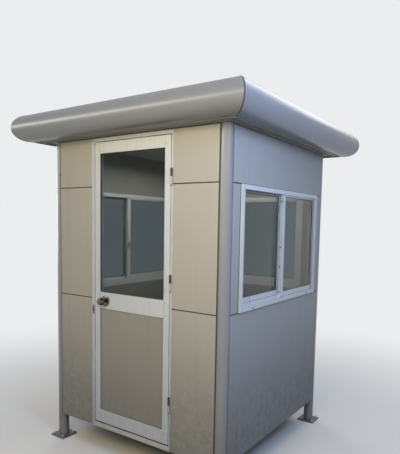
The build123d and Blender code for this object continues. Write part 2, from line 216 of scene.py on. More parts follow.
# %% Floor
FLOOR_COLOUR = linear(228, 224, 217)
FLOOR_BOUNCE = linear(50, 51, 54)
FADE_START, FADE_END, FLOOR_REACH = 1.2, 4.6, 60.0
bpy.ops.mesh.primitive_circle_add(vertices=96, radius=FLOOR_REACH, fill_type="NGON")
floor = bpy.context.object
floor.name = "floor"
floor_paint = bpy.data.materials.new("floor_paint")
floor_paint.use_nodes = True
tree = floor_paint.node_tree
tree.nodes.clear()
spot = add_node(tree, "TexCoord").outputs["Object"]
distance = add_node(tree, "VectorMath", {0: spot}, operation="LENGTH").outputs["Value"]
seen = seen_directly(tree)
fade = maths(tree, "MULTIPLY", ramp(tree, distance, FADE_START, FADE_END), seen)
paint = mix(tree, seen, FLOOR_BOUNCE, FLOOR_COLOUR)
matt = add_node(tree, "BsdfDiffuse", {"Color": paint}).outputs[0]
glow = add_node(tree, "Emission", {"Color": BACKGROUND, "Strength": 1.0}).outputs[0]
both = add_node(tree, "MixShader", {0: fade, 1: matt, 2: glow})
add_node(tree, "OutputMaterial", {"Surface": both.outputs[0]})
floor.data.materials.append(floor_paint)
floor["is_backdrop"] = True
print("floor fades out between", FADE_START, "and", FADE_END, "m")

# %% [markdown]
# ## Effects that many finishes share
# Four node groups are built once. *Weathering and shade* clouds a colour, runs faint streaks down a wall,
# adds dust on ledges and darkens a piece low down, partly as dust and partly as painted shade where the
# light falls off towards the ground. *Worn edge* finds corners by comparing the true normal with a rounded
# one.
# *Flake* is the fine sparkle of metallic paint. *Line* turns the distance from a plane into a hairline, for
# the butt joints of profiles, which are too fine to be worth geometry. Each finish places them with its own
# numbers.

# %% Starting a group
COLOUR, NUMBER, DIRECTION = "NodeSocketColor", "NodeSocketFloat", "NodeSocketVector"


def start_group(name, inputs, outputs, tree_kind="ShaderNodeTree"):
    """A node group, what it is given, and the node that takes its result."""
    group = bpy.data.node_groups.new(name, tree_kind)
    for label, kind, *value in inputs:
        socket = group.interface.new_socket(label, in_out="INPUT", socket_type=kind)
        if value:
            socket.default_value = value[0]
    for label, kind in outputs:
        group.interface.new_socket(label, in_out="OUTPUT", socket_type=kind)
    return group, add_node(group, "NodeGroupInput").outputs, add_node(group, "NodeGroupOutput")


def object_place(tree):
    """Where a point is on the object, in metres."""
    return add_node(tree, "TexCoord").outputs["Object"]


def noise(tree, place, scale, detail, roughness=0.5):
    """Cloudy noise from 0 to 1."""
    inputs = {"Vector": place, "Scale": scale, "Detail": detail, "Roughness": roughness}
    return add_node(tree, "TexNoise", inputs).outputs["Fac"]


def scaled(tree, colour, factor):
    """A colour made lighter or darker by a factor."""
    inputs = {0: colour, "Scale": factor}
    return add_node(tree, "VectorMath", inputs, operation="SCALE").outputs[0]


print("group sockets:", COLOUR, NUMBER, DIRECTION)

# %% Weathering and painted shade
CLOUD_SCALE, SPECK_SCALE, STREAK_SCALES = 2.2, 26.0, (38, 38, 0.9)
DUST_ROUGHENS = 0.35
weathering_and_shade, given, result = start_group(
    "weathering_and_shade",
    [("Colour", COLOUR, (0.5, 0.5, 0.5, 1)), ("Roughness", NUMBER, 0.4),
     ("Dust Colour", COLOUR, (0.3, 0.25, 0.2, 1)), ("Cloud", NUMBER, 0.05), ("Streak", NUMBER, 0.05),
     ("Splash", NUMBER, 0.3), ("Splash Height", NUMBER, 0.45), ("Ground", NUMBER, 0.18),
     ("Ledge", NUMBER, 0.5)],
    [("Colour", COLOUR), ("Roughness", NUMBER)],
)
tree = weathering_and_shade
place = object_place(tree)
cloud = maths(tree, "SUBTRACT", noise(tree, place, CLOUD_SCALE, 4.0, 0.55), 0.5)
swing = maths(tree, "MULTIPLY", given["Cloud"], 2.0)
cloud = maths(tree, "MULTIPLY_ADD", cloud, swing, 1.0)
stretched = add_node(tree, "Mapping", {"Vector": place, "Scale": STREAK_SCALES}).outputs[0]
streak = ramp(tree, noise(tree, stretched, 1.0, 3.0), 0.52, 0.72)
streak = maths(tree, "MULTIPLY", streak, given["Streak"])
# Darker towards the foot: partly dust, partly painted shade for the light that falls off near the ground.
rise = maths(tree, "SUBTRACT", split(tree, place)["Z"], given["Ground"])
low = ramp(tree, maths(tree, "DIVIDE", rise, given["Splash Height"]), 1.0, 0.0)
speck = ramp(tree, noise(tree, place, SPECK_SCALE, 6.0, 0.7), 0.35, 0.65)
low = maths(tree, "MULTIPLY", low, maths(tree, "MULTIPLY_ADD", speck, 0.35, 0.55))
low = maths(tree, "MULTIPLY", low, given["Splash"])
facing = split(tree, add_node(tree, "TexCoord").outputs["Normal"])["Z"]
ledge = ramp(tree, facing, 0.55, 0.95)
ledge = maths(tree, "MULTIPLY", ledge, maths(tree, "MULTIPLY_ADD", speck, 0.5, 0.5))
ledge = maths(tree, "MULTIPLY", ledge, given["Ledge"])
grime_and_shade = maths(tree, "MAXIMUM", maths(tree, "ADD", low, streak, clamp=True), ledge)
clouded = scaled(tree, given["Colour"], cloud)
grimed_and_shaded = mix(tree, grime_and_shade, clouded, given["Dust Colour"])
rougher = maths(tree, "MULTIPLY_ADD", grime_and_shade, DUST_ROUGHENS, given["Roughness"], clamp=True)
fill(result, {"Colour": grimed_and_shaded, "Roughness": rougher})
print(tree.name, "has", len(tree.nodes), "nodes")

# %% Worn edge
CHIP_SCALE = 60.0
worn_edge, given, result = start_group(
    "worn edge", [("Radius", NUMBER, 0.002), ("Amount", NUMBER, 0.5)],
    [("Mask", NUMBER), ("Normal", DIRECTION)],
)
tree = worn_edge
rounded = add_node(tree, "Bevel", {"Radius": given["Radius"]}, samples=4).outputs[0]
true = add_node(tree, "NewGeometry").outputs["Normal"]
turn = add_node(tree, "VectorMath", {0: rounded, 1: true}, operation="DOT_PRODUCT")
corner = ramp(tree, turn.outputs["Value"], 0.995, 0.85)
chips = ramp(tree, noise(tree, object_place(tree), CHIP_SCALE, 5.0), 0.4, 0.62)
chips = maths(tree, "MULTIPLY", corner, chips)
chips = maths(tree, "MULTIPLY", chips, given["Amount"])
fill(result, {"Mask": chips, "Normal": rounded})
print(tree.name, "has", len(tree.nodes), "nodes")

# %% Flake and line
flake, given, result = start_group(
    "flake", [("Size", NUMBER, 0.0015), ("Strength", NUMBER, 0.05)], [("Shade", NUMBER), ("Height", NUMBER)]
)
cells_per_metre = maths(flake, "DIVIDE", 1.0, given["Size"])
cells = add_node(flake, "TexVoronoi", {"Vector": object_place(flake), "Scale": cells_per_metre})
shade = add_node(flake, "SeparateColor", {0: cells.outputs["Color"]}).outputs[0]
shade = maths(flake, "SUBTRACT", shade, 0.5)
shade = maths(flake, "MULTIPLY_ADD", shade, given["Strength"], 1.0)
fill(result, {"Shade": shade, "Height": cells.outputs["Distance"]})

line, given, result = start_group(
    "line", [("Distance", NUMBER, 0.0), ("Centre", NUMBER, 0.0), ("Half Width", NUMBER, 0.0006)],
    [("Mask", NUMBER)],
)
away = maths(line, "ABSOLUTE", maths(line, "SUBTRACT", given["Distance"], given["Centre"]))
away = maths(line, "DIVIDE", away, given["Half Width"])
fill(result, {"Mask": ramp(line, away, 1.3, 0.7)})
print("groups:", [group.name for group in bpy.data.node_groups])

# %% [markdown]
# ## Finishes
# Nearly everything here is painted metal: metallic silver on the panels, posts and roof, white powder coat
# on the door and window profiles. One function makes them all, because they differ in colour, in how metallic
# and how rough they are, in the fine structure of the paint, and in how much dust, wear and painted shade low
# down they carry. It can also draw hairlines at given places, or change the colour beyond a plane, as on the
# hinges. The glass is a tinted pane that bends light very little, with faint smears that only show in its
# gloss.

# %% Materials and groups
# The colour mixed in for dust, streaks and the darkening low down; darker than dust alone, so it also paints
# the shade near the ground.
GRIME_AND_SHADE = linear(92, 93, 90)
LINE_DARK = linear(70, 68, 64)
BARE_METAL = linear(150, 150, 150)
ROUND_EDGE = 0.0012


def place_group(tree, group, **inputs):
    """Put a shared group in a material; underscores stand for spaces in the names of its inputs."""
    named = {key.replace("_", " "): value for key, value in inputs.items()}
    return add_node(tree, "Group", named, node_tree=group).outputs


def weathered_and_shaded(tree, colour, roughness, cloud, streak, splash, splash_height, ledge):
    """A colour and a roughness after wind, rain and dirt, darker low down with painted shade as well."""
    return place_group(tree, weathering_and_shade, Colour=colour, Roughness=roughness, Dust_Colour=GRIME_AND_SHADE, Cloud=cloud,
                       Streak=streak, Splash=splash, Splash_Height=splash_height, Ledge=ledge)


def new_material(name):
    """An empty material with a Principled shader."""
    made = bpy.data.materials.new(name)
    made.use_nodes = True
    tree = made.node_tree
    tree.nodes.clear()
    shader = add_node(tree, "BsdfPrincipled")
    add_node(tree, "OutputMaterial", {"Surface": shader.outputs[0]})
    return made, tree, shader


def distance_of(tree, kind):
    """How far a point is from a plane: x is its distance from the middle of the door's wall, along is its
    place along whichever wall it is on, without its sign, and mitre is zero on the diagonals of the plan."""
    axes = split(tree, object_place(tree))
    if kind == "x":
        return axes["X"]
    across, deep = maths(tree, "ABSOLUTE", axes["X"]), maths(tree, "ABSOLUTE", axes["Y"])
    return maths(tree, {"along": "MINIMUM", "mitre": "SUBTRACT"}[kind], across, deep)


print("dust is", [round(v, 3) for v in GRIME_AND_SHADE[:3]])


# %% Painted metal
def painted_metal(name, colour, metallic=0.0, roughness=0.4, grain=0.001, sparkle=0.05, bump=0.02, wear=0.3,
                  worn=BARE_METAL, cloud=0.04, streak=0.06, splash=0.35, splash_height=0.45, ledge=0.5,
                  specular=0.5, lines=(), line_colour=LINE_DARK, beyond=None):
    """Paint on metal with grain, rounded corners, worn edges, streaks, dirt and painted shade low down,
    hairlines and a second colour.
    A line is (kind of distance, where, half its width), and beyond is (kind of distance, where, colour)."""
    made, tree, shader = new_material(name)
    if beyond:
        kind, limit, other = beyond
        side = maths(tree, "GREATER_THAN", distance_of(tree, kind), limit)
        colour = mix(tree, side, colour, other)
    grimed_and_shaded = weathered_and_shaded(tree, colour, roughness, cloud, streak, splash, splash_height, ledge)
    fine = place_group(tree, flake, Size=grain, Strength=sparkle)
    edge = place_group(tree, worn_edge, Radius=ROUND_EDGE, Amount=wear)
    base = mix(tree, edge["Mask"], scaled(tree, grimed_and_shaded["Colour"], fine["Shade"]), worn)
    for kind, centre, half_width in lines:
        away = distance_of(tree, kind)
        drawn = place_group(tree, line, Distance=away, Centre=centre, Half_Width=half_width)
        base = mix(tree, drawn["Mask"], base, line_colour)
    relief = add_node(tree, "Bump", {"Strength": bump, "Distance": grain, "Height": fine["Height"],
                                     "Normal": edge["Normal"]})
    fill(shader, {"Base Color": base, "Roughness": grimed_and_shaded["Roughness"], "Normal": relief.outputs[0],
                  "Metallic": metallic, "Specular IOR Level": specular})
    return made


print("rounded corners:", ROUND_EDGE * 1000, "mm")

# %% Silver finishes
finish = {}


def slot_finish(slot, colour, metallic, roughness, **details):
    """Painted metal for one of the record's material slots, under the slot's own name."""
    finish[slot] = painted_metal(slot, colour, metallic, roughness, **details)


# The silver panels and the door's panel darken up to about a metre above the foot: partly dust, partly
# painted shade for the light that falls off towards the ground.
slot_finish("silver_panel", linear(176, 174, 171), 0.08, 0.48, sparkle=0.10, streak=0.05, splash=0.55,
            splash_height=0.95, specular=0.15)
slot_finish("door_silver", linear(150, 147, 140), 0.22, 0.46, sparkle=0.10, splash=0.38, splash_height=0.8)
slot_finish("post_silver", linear(146, 147, 150), 0.4, 0.36, sparkle=0.06)
slot_finish("roof_silver", linear(134, 137, 144), 0.28, 0.32, sparkle=0.05, ledge=0.25,
            lines=[("mitre", 0.0, 0.0055)], line_colour=linear(72, 74, 68))
slot_finish("soffit_silver", linear(138, 137, 134), 0.35, 0.5, sparkle=0.06)
slot_finish("ceiling_white", linear(205, 204, 199), 0.0, 0.6, wear=0.0)
print("silver finishes:", sorted(finish))

# %% White profiles
# One white paint in two copies: the window one is made lighter, painted light for what its proud frames
# catch, and the door one is tinted blue so it reads white under the warm front lamp.
WINDOW_WHITE_LIGHTENED, DOOR_WHITE_COOLED, WORN_WHITE = linear(217, 217, 217), linear(202, 208, 220), linear(160, 162, 162)
HAIR, JAMB_LINE = 0.0006, 0.0009


def white_coat(name, colour, kind, places, half_width=HAIR, **details):
    """Powder coat on a profile, with a hairline at each place where two bars butt."""
    return painted_metal(name, colour, 0.0, 0.36, sparkle=0.015, worn=WORN_WHITE,
                         lines=[(kind, place, half_width) for place in places], **details)


finish["white_frame"] = white_coat("white_frame", WINDOW_WHITE_LIGHTENED, "along", [0.5688])
white_sash = white_coat("white_sash", WINDOW_WHITE_LIGHTENED, "along", [0.0212, 0.5388])
white_leaf = white_coat("white_leaf", DOOR_WHITE_COOLED, "x", [-0.2728, 0.2928], splash=0.12)
white_jamb = white_coat("white_jamb", DOOR_WHITE_COOLED, "x", [-0.349, -0.334], JAMB_LINE)
print("white:", [made.name for made in (finish["white_frame"], white_sash, white_leaf, white_jamb)])

# %% Steel, board and lining
slot_finish("base_steel", linear(58, 58, 60), 0.3, 0.55, splash=0.5)
slot_finish("foot_steel", linear(104, 108, 110), 0.4, 0.5, splash=0.45, ledge=0.3, cloud=0.15)
# The lining is a mid grey, darker than a usual lining, to paint the shade inside the cabin.
slot_finish("wall_core", linear(150, 147, 138), 0.0, 0.55, wear=0.0, sparkle=0.02, splash=0.1)
slot_finish("floor_board", linear(96, 90, 82), 0.0, 0.5, wear=0.0, splash=0.0, ledge=0.3)
slot_finish("hinge_steel", linear(176, 177, 176), 0.1, 0.42, ledge=0.2)
# The knob's steel is dark for stainless, a painted reflection of dark surroundings; the key plug and the turn
# share it.
slot_finish("knob_steel", linear(106, 101, 92), 1.0, 0.14, sparkle=0.02, streak=0.0, cloud=0.02)
upper_hinge = painted_metal("upper_hinge", linear(206, 207, 205), 0.2, 0.42, ledge=0.2,
                            beyond=("x", 0.3418, linear(62, 58, 56)))
roof_sheet = painted_metal("roof_sheet", linear(150, 151, 153), 0.3, 0.5, sparkle=0.06, streak=0.0,
                           cloud=0.07, ledge=0.38)
print("finishes:", sorted(finish))

# %% Glass
glass, tree, shader = new_material("clear_glass")
smear = ramp(tree, noise(tree, object_place(tree), 7.0, 5.0, 0.65), 0.45, 0.75, 0.015, 0.075)
fill(shader, {"Base Color": linear(142, 150, 152), "Roughness": smear, "Transmission Weight": 1.0,
              "IOR": 1.2})
finish["clear_glass"] = glass
print("glass ready, index", round(shader.inputs["IOR"].default_value, 2))

# %% Put the finishes on the solid pieces
WINDOW_WALLS = ("right", "back", "left")
special = {"door_leaf": white_leaf, "door_frame": white_jamb, "hinge_leaf_halves": upper_hinge,
           "roof_deck": roof_sheet}
special.update({f"window_{side}_sashes": white_sash for side in WINDOW_WALLS})
for entry in frame["record"]["subparts"]:
    name = entry["node"]
    materials = frame["nodes"][name].data.materials
    materials.clear()
    materials.append(special.get(name, finish[entry["material_slot"]]))
print("dressed:", len(frame["nodes"]), "nodes, with their own finish:", sorted(special))

# %% [markdown]
# ## Places on the walls
# The booth is square and its four walls carry the same system of panels, so every added strip is given as
# seen from outside that wall: how far along it, how high, and how deep behind its face. One function turns
# that into a point, and others sweep a section between two points or round a rectangle.

# %% From a wall to the room
WALL_FACE = 0.75
DIRECTIONS = {"front": ((1, 0), (0, -1)), "right": ((0, 1), (1, 0)),
              "back": ((-1, 0), (0, 1)), "left": ((0, -1), (-1, 0))}


def on_wall(side, along, height, inwards=0.0):
    """A point by its place along a wall, its height, and its depth behind the wall face."""
    (ax, ay), (ox, oy) = DIRECTIONS[side]
    out = WALL_FACE - inwards
    return Vector((ax * along + ox * out, ay * along + oy * out, height))


def wall_direction(side, along=0.0, outwards=0.0):
    """A level direction given in a wall's own terms."""
    (ax, ay), (ox, oy) = DIRECTIONS[side]
    return Vector((ax * along + ox * outwards, ay * along + oy * outwards, 0.0))


print("front wall, middle of the door:", [round(v, 3) for v in on_wall("front", 0, 1.2)])


# %% Sweeping a section
def loft(mesh, rings, closed_path):
    """Faces between rings of points; an open path gets end caps."""
    rows = [[mesh.verts.new(point) for point in ring] for ring in rings]
    count = len(rows[0])
    last = len(rows) if closed_path else len(rows) - 1
    for index in range(last):
        here, there = rows[index], rows[(index + 1) % len(rows)]
        for corner in range(count):
            after = (corner + 1) % count
            mesh.faces.new((here[corner], here[after], there[after], there[corner]))
    if not closed_path:
        mesh.faces.new(rows[0])
        mesh.faces.new(rows[-1])


def wall_bar(mesh, side, start, end, section):
    """A straight bar on a wall. Start and end are (along, height); the section is (shift, depth) pairs, and
    the shift is across the bar."""
    sideways, upwards = (0, 1) if start[1] == end[1] else (1, 0)
    rings = []
    for along, height in (start, end):
        rings.append([on_wall(side, along + sideways * shift, height + upwards * shift, depth)
                      for shift, depth in section])
    loft(mesh, rings, False)


print("a section is swept by loft, or along a wall by wall_bar")


# %% A strip round a rectangle
def wall_ring(mesh, side, low, high, section, upright=1.0, arch=False):
    """A strip round a rectangle with mitred corners, or only up one side, across and down the other. The
    section is (inset, depth) pairs from its edge; upright scales the inset at the top and bottom."""
    at_foot = 0.0 if arch else upright
    rings = []
    for right_side, top_side in ((1, 0), (1, 1), (0, 1), (0, 0)):
        ring = []
        for inset, depth in section:
            along = high[0] - inset if right_side else low[0] + inset
            height = high[1] - inset * upright if top_side else low[1] + inset * at_foot
            ring.append(on_wall(side, along, height, depth))
        rings.append(ring)
    loft(mesh, rings, not arch)


print("a section goes round a rectangle by wall_ring")


# %% Finished pieces
def mesh_data(name, mesh):
    """Turn the faces outwards and keep them as mesh data."""
    bmesh.ops.recalc_face_normals(mesh, faces=mesh.faces)
    data = bpy.data.meshes.new(name)
    mesh.to_mesh(data)
    mesh.free()
    return data


def piece(name, mesh, material, body="booth", smooth=False):
    """Weld what meets, give it a finish, and let it ride on a body."""
    bmesh.ops.remove_doubles(mesh, verts=mesh.verts, dist=1e-6)
    data = mesh_data(name, mesh)
    for face in data.polygons:
        face.use_smooth = smooth
    data.materials.append(material)
    made = in_scene(name, data)
    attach(made, body)
    print(name, len(data.polygons), "faces")


print("a mesh is closed by mesh_data and becomes a piece of its body by piece")

# %% [markdown]
# ## Sealant in the panel joints
# The panels hang with open joints 8 mm wide, and a dark sealant lies in them, hollowed by a fingertip. It
# also runs round each window frame and down beside the front posts. Each strand is a bar with a hollow outer
# face that starts on the wall behind and ends a little below the panels, so the joints stay readable as
# shadow lines. Sealant and rubber age in the same way as the paint, so they share its weathering, and its
# painted shade low down as well.


# %% Sealant and rubber
def filler(name, colour, roughness, **amounts):
    """A soft dark material, with the paint's streaks, dirt and painted shade low down,
    but without flake or worn edges.
    """
    made, tree, shader = new_material(name)
    aged = weathered_and_shaded(tree, colour, roughness, **amounts)
    fill(shader, {"Base Color": aged["Colour"], "Roughness": aged["Roughness"]})
    return made


sealant = filler("sealant", linear(62, 61, 57), 0.55, cloud=0.25, streak=0.1, splash=0.3, splash_height=0.4,
                 ledge=0.3)
rubber = filler("rubber", linear(30, 30, 31), 0.5, cloud=0.2, streak=0.05, splash=0.2, splash_height=0.3,
                ledge=0.15)
print("fillers:", sealant.name, rubber.name)

# %% Joint sealant
PANEL_DEPTH = 0.004
JOINTS = (1.116, 1.892)
JOINT_HALF = 0.004
FRONT_EDGE, SIDE_EDGE = 0.6865, 0.6925
DOOR_SIDE, WINDOW_EDGE = 0.355, 0.608
hollow = [(-JOINT_HALF, 0.0008), (-0.0022, 0.0016), (0.0, 0.0020), (0.0022, 0.0016), (JOINT_HALF, 0.0008),
          (JOINT_HALF, PANEL_DEPTH), (-JOINT_HALF, PANEL_DEPTH)]
spans = [("front", DOOR_SIDE, FRONT_EDGE)] + [(side, WINDOW_EDGE, SIDE_EDGE) for side in WINDOW_WALLS]
strands = bmesh.new()
for height in JOINTS:
    for side, inner, outer in spans:
        wall_bar(strands, side, (-outer, height), (-inner, height), hollow)
        wall_bar(strands, side, (inner, height), (outer, height), hollow)
piece("joint_sealant", strands, sealant)

# %% Sealant beside posts and round windows
PANELS_FROM, PANELS_TO = 0.184, 2.225
DAB_ALONG, DAB_FROM, DAB_TO = -0.6880, 1.979, 1.999
beside_post = [(0.0, 0.0022), (0.0045, 0.0034), (0.0098, 0.0024), (0.0078, 0.0046), (0.0, 0.0046)]
post_strands = bmesh.new()
for sign in (-1, 1):
    section = [(sign * shift, depth) for shift, depth in beside_post]
    edge = sign * FRONT_EDGE
    wall_bar(post_strands, "front", (edge, PANELS_FROM), (edge, PANELS_TO), section)
dab = [(-0.0080, 0.0002), (-0.0050, -0.0012), (0.0020, -0.0014), (0.0060, 0.0004), (0.0060, 0.0030),
       (-0.0080, 0.0030)]
wall_bar(post_strands, "front", (DAB_ALONG, DAB_FROM), (DAB_ALONG, DAB_TO), dab)
piece("post_sealant", post_strands, sealant)

WINDOW_HOLE_LOW, WINDOW_HOLE_HIGH = (-WINDOW_EDGE, 1.112), (WINDOW_EDGE, 1.896)
section = [(0.0, 0.0010), (0.0042, 0.0018), (0.0085, 0.0008), (0.0085, PANEL_DEPTH), (0.0, PANEL_DEPTH)]
window_strands = bmesh.new()
for side in WINDOW_WALLS:
    wall_ring(window_strands, side, WINDOW_HOLE_LOW, WINDOW_HOLE_HIGH, section, upright=0.53)
piece("window_sealant", window_strands, sealant)

# %% [markdown]
# ## A shadow bead under the roof edge, and sealant in its mitres
# Where the walls meet the soffit a dark bead runs all round and paints the shadow line under the soffit, and
# further out the soffit sheets end in two small folded hems, which catch the light as thin lines. At the four
# corners of the roof the half-round edge is mitred, and a hand-drawn bead covers the cut. The bead follows
# the
# profile in the diagonal plane: a flat run along the low flange, then half a circle, so its path is worked
# out from the same radius.

# %% Shadow bead under the soffit
DOOR_HEAD, HEAD_SET_OUT = 0.3549, -0.002
BEAD_SIDE, BEAD_POST, BEAD_CORNER = 0.357, 0.690, 0.692
# A dark bead in the sealant's material along the top of each wall: painted shadow under the soffit.
bead = [(0.0, 0.0), (0.0, -0.0055), (-0.002, -0.0035), (-0.0045, -0.0020), (-0.0065, 0.0)]
runs = [("front", -BEAD_POST, -BEAD_SIDE, 0.0), ("front", -DOOR_HEAD, DOOR_HEAD, HEAD_SET_OUT),
        ("front", BEAD_SIDE, BEAD_POST, 0.0)]
runs += [(side, -BEAD_CORNER, BEAD_CORNER, 0.0) for side in WINDOW_WALLS]
soffit_shadow_line = bmesh.new()
for side, low, high, step in runs:
    section = [(shift, depth + step) for shift, depth in bead]
    wall_bar(soffit_shadow_line, side, (low, PANELS_TO), (high, PANELS_TO), section)
piece("soffit_bead", soffit_shadow_line, sealant)


# %% Hems of the soffit
def roof_ring(mesh, section):
    """A strip round the roof with mitred corners; the section is (distance out from the walls, height)."""
    rings = []
    for east, north in ((1, -1), (1, 1), (-1, 1), (-1, -1)):
        rings.append([Vector((east * (WALL_FACE + out), north * (WALL_FACE + out), height))
                      for out, height in section])
    loft(mesh, rings, True)


FLANGE = 2.2232
HEM_HALF = 0.0012
hems = bmesh.new()
for out, drop in ((0.0962, 0.0050), (0.046, 0.0038)):
    low = FLANGE - drop
    roof_ring(hems, [(out, PANELS_TO + 0.0002), (out, low), (out - HEM_HALF, low - 0.0006),
                     (out - 2 * HEM_HALF, low), (out - 2 * HEM_HALF, PANELS_TO + 0.0002)])
piece("soffit_hems", hems, finish["soffit_silver"])

# %% Path of the mitre beads
EDGE_CENTRE_OUT, EDGE_CENTRE_HEIGHT, EDGE_RADIUS = 0.120, 2.318, 0.095
FLANGE_FROM, FLANGE_TO, TOP_FROM, TOP_TO = 0.098, 0.110, 0.100, 0.075
ROOF_TOP = EDGE_CENTRE_HEIGHT + EDGE_RADIUS
ROOF_REACH = WALL_FACE + EDGE_CENTRE_OUT + EDGE_RADIUS
STEPS = 28
FLANGE_UNDERSIDE = EDGE_CENTRE_HEIGHT - EDGE_RADIUS
path = [(FLANGE_FROM, FLANGE_UNDERSIDE), (FLANGE_TO, FLANGE_UNDERSIDE)]
for step in range(STEPS + 1):
    angle = math.radians(-90 + 180 * step / STEPS)
    path.append((EDGE_CENTRE_OUT + EDGE_RADIUS * math.cos(angle),
                 EDGE_CENTRE_HEIGHT + EDGE_RADIUS * math.sin(angle)))
path += [(TOP_FROM, ROOF_TOP), (TOP_TO, ROOF_TOP)]
print("mitre path:", len(path), "points, roof reaches", round(ROOF_REACH, 3))

# %% Beads on the mitres
BEAD_HALF, BEAD_RISE, BEAD_SUNK, BEAD_EDGE_SUNK = 0.004, 0.0009, 0.0006, 0.0003
SIDE_ROOM, TOP_ROOM = 0.0001, 0.00005


def mitre_bead(mesh, east, north):
    """A low bead along the mitre of the corner towards east and north, kept inside the roof's reach."""
    rings = []
    for index, (out, height) in enumerate(path):
        before, after = path[max(index - 1, 0)], path[min(index + 1, len(path) - 1)]
        run, climb = after[0] - before[0], after[1] - before[1]
        length = math.hypot(run, climb)
        normal = (climb / length, -run / length)
        ring = []
        for across, lift in ((-1, 0.0), (-0.5, 0.7), (0, 1.0), (0.5, 0.7), (1, 0.0), (0, -1.0)):
            raised = lift * (BEAD_RISE if lift > 0 else BEAD_SUNK)
            raised -= BEAD_EDGE_SUNK if abs(across) == 1 else 0.0
            place = WALL_FACE + out + normal[0] * raised
            shift = across * BEAD_HALF * math.sqrt(2)
            x = min(place + min(shift, 0.0), ROOF_REACH - SIDE_ROOM)
            y = min(place - max(shift, 0.0), ROOF_REACH - SIDE_ROOM)
            z = min(height + normal[1] * raised, ROOF_TOP - TOP_ROOM)
            ring.append(Vector((east * x, north * y, z)))
        rings.append(ring)
    loft(mesh, rings, False)


mitre_beads = bmesh.new()
for east in (-1, 1):
    for north in (-1, 1):
        mitre_bead(mitre_beads, east, north)
piece("mitre_sealant", mitre_beads, sealant, smooth=True)

# %% [markdown]
# ## Gaskets round the glass
# Glass never touches the metal: a black wedge gasket sits between each pane and its profile, on both faces.
# From outside it reads as a thin dark frame inside the white one. Each is one mitred strip round the pane,
# thicker at the profile and thin towards the glass. The door's panel has narrower ones.

# %% Door gaskets
TUCK, BITE = 0.0003, 0.0001


def gasket_pair(mesh, side, low, high, front, back, width, proud):
    """A wedge on both faces of a pane that fills the daylight from low to high; proud is how far the outer
    one stands in front of the glass."""
    wall_ring(mesh, side, low, high, [(-TUCK, front - proud), (width / 2, front - proud + 0.0006),
                                      (width, front + BITE), (-TUCK, front + BITE)])
    wall_ring(mesh, side, low, high, [(-TUCK, back - BITE), (width, back - BITE),
                                      (width / 2, back + 0.0018), (-TUCK, back + 0.0024)])


DOOR_PANE_FRONT = 0.003
gaskets = bmesh.new()
for low, high, back, width in (((-0.274, 1.165), (0.294, 2.115), 0.008, 0.0055),
                               ((-0.274, 0.318), (0.294, 1.050), 0.009, 0.003)):
    gasket_pair(gaskets, "front", low, high, DOOR_PANE_FRONT, back, width, proud=0.0024)
piece("door_gaskets", gaskets, rubber, body="door")

# %% Window gaskets
OUTER_PANE, INNER_PANE, PANE_THICKNESS = 0.0035, 0.0315, 0.005
daylights = ((OUTER_PANE, (0.020, 1.182), (0.540, 1.850)), (INNER_PANE, (-0.540, 1.196), (-0.020, 1.850)))
window_gaskets = bmesh.new()
for side in WINDOW_WALLS:
    for front, low, high in daylights:
        gasket_pair(window_gaskets, side, low, high, front, front + PANE_THICKNESS, 0.004, proud=0.0026)
piece("window_gaskets", window_gaskets, rubber)

# %% [markdown]
# ## Brushes in the window tracks
# Each sash slides with 1.5 mm to spare on either side, and a strip of dark pile fills the gap in front of
# it. It shows as a fine dark line where the sash meets the sill, the head and the jamb.

# %% Track brushes
WINDOW_TOP, WINDOW_SIDE, OVERLAP = 1.872, 0.540, 0.020
OUTER_TRACK = (1.148, -0.0059, -OVERLAP, WINDOW_SIDE)
INNER_TRACK = (1.162, 0.0221, -WINDOW_SIDE, OVERLAP)


def tuft(depth, sign):
    """The section of a strip of pile whose tip points up or along the wall for 1, the other way for -1."""
    root, shoulder, tip = -0.006 * sign, 0.0012 * sign, 0.0016 * sign
    return [(root, depth), (shoulder, depth + 0.0002), (tip, depth + 0.0007), (shoulder, depth + 0.0012),
            (root, depth + 0.0013)]


pile = bmesh.new()
for side in WINDOW_WALLS:
    for level, depth, low, high in (OUTER_TRACK, INNER_TRACK):
        wall_bar(pile, side, (low, level), (high, level), tuft(depth, 1))
        wall_bar(pile, side, (low, WINDOW_TOP), (high, WINDOW_TOP), tuft(depth, -1))
        jamb = max(low, high, key=abs)
        wall_bar(pile, side, (jamb, level), (jamb, WINDOW_TOP), tuft(depth, -1 if jamb > 0 else 1))
piece("track_brushes", pile, rubber)

# %% [markdown]
# ## Seals of the door
# Behind the leaf a soft strip runs up one jamb, across the header and down the other, and a blade stands on
# the threshold. They don't touch the leaf here, so it can swing, but they close the view through the gaps,
# which is why the lines round a real door look black.

# %% Door seals
SEAL_LOW, SEAL_HIGH = (-0.327, 0.2165), (0.345, 2.195)
BLADE_FROM, BLADE_TO, BLADE_FOOT = -0.3265, 0.3445, 0.2168
bulb = [(0.0015, 0.0362), (0.0015, 0.0335), (0.004, 0.0322), (0.008, 0.0328), (0.0105, 0.0345),
        (0.0105, 0.0362)]
blade = [(0.0, -0.0012), (0.0092, 0.0012), (0.0092, 0.0026), (0.0, 0.0045)]
seals = bmesh.new()
wall_ring(seals, "front", SEAL_LOW, SEAL_HIGH, bulb, arch=True)
wall_bar(seals, "front", (BLADE_FROM, BLADE_FOOT), (BLADE_TO, BLADE_FOOT), blade)
piece("door_seals", seals, rubber)

# %% [markdown]
# ## Screws and bolts
# Every fastener is the same few shapes set many times at given places, so Geometry Nodes do it. A list of
# places becomes a mesh of loose points with an *aim* for each. The tree turns one head to the aim, gives it
# a random turn about its own axis, and sets it on every point. The result is turned into a plain mesh and
# the tree let go.


# %% Heads made from listed points
def circle(sides, radius, rise, start=0.0):
    """Points round the Z axis at one height."""
    angles = [start + math.tau * k / sides for k in range(sides)]
    return [Vector((radius * math.cos(angle), radius * math.sin(angle), rise)) for angle in angles]


